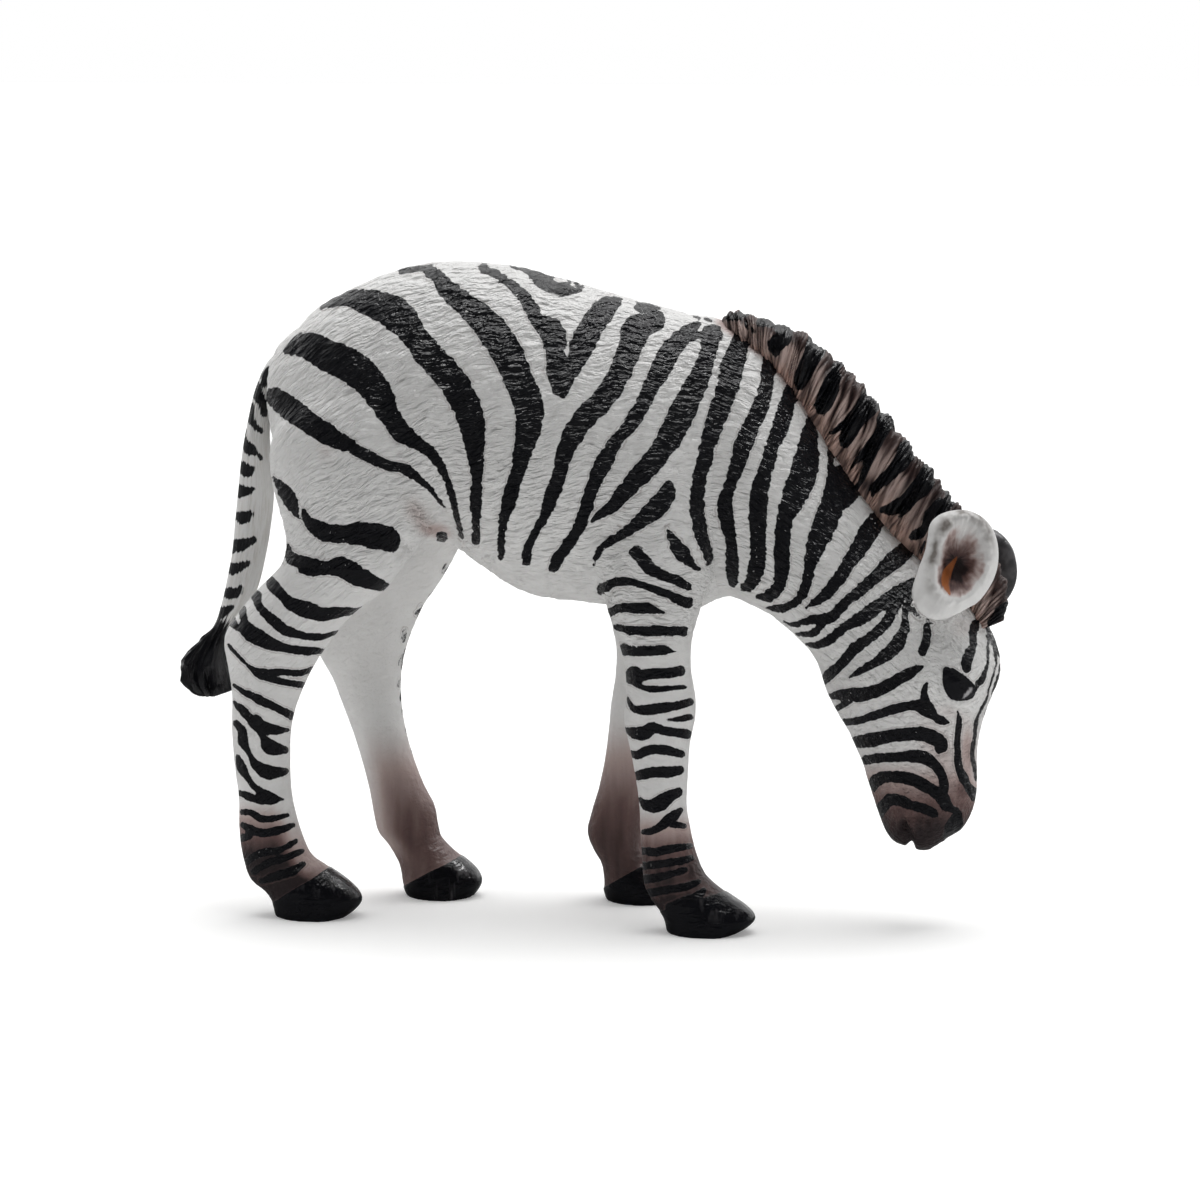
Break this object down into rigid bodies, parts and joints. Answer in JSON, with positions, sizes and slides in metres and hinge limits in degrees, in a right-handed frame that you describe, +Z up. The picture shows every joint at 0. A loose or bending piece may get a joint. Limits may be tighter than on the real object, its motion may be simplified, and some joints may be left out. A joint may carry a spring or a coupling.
{
  "type": "toy wild animal figure",
  "caption": "Solid toy zebra foal figure, head lowered to graze, with separate torso, neck and head, mane, ears, legs and tail.",
  "frame": {"origin": "on the ground, under the middle of the figure's bounding box", "axes": "+X towards the nose, +Y towards the figure's left side, +Z up"},
  "size_m": [0.085, 0.0236, 0.0656],
  "materials": {
    "striped_coat": "satin white paint with glossy black stripes on a sculpted coat",
    "mane_hair": "brown and black hair relief with a dry-brushed satin paint",
    "ear_coat": "satin paint, pale outside with a dark brown hollow",
    "tail_hair": "satin white paint with a black tuft"
  },
  "bodies": {
    "root": {"torso": "striped_coat", "neck_and_head": "striped_coat", "mane": "mane_hair", "right_ear": "ear_coat", "left_ear": "ear_coat", "right_foreleg": "striped_coat", "left_foreleg": "striped_coat", "right_hindleg": "striped_coat", "left_hindleg": "striped_coat", "tail": "tail_hair"}
  },
  "joints": []
}
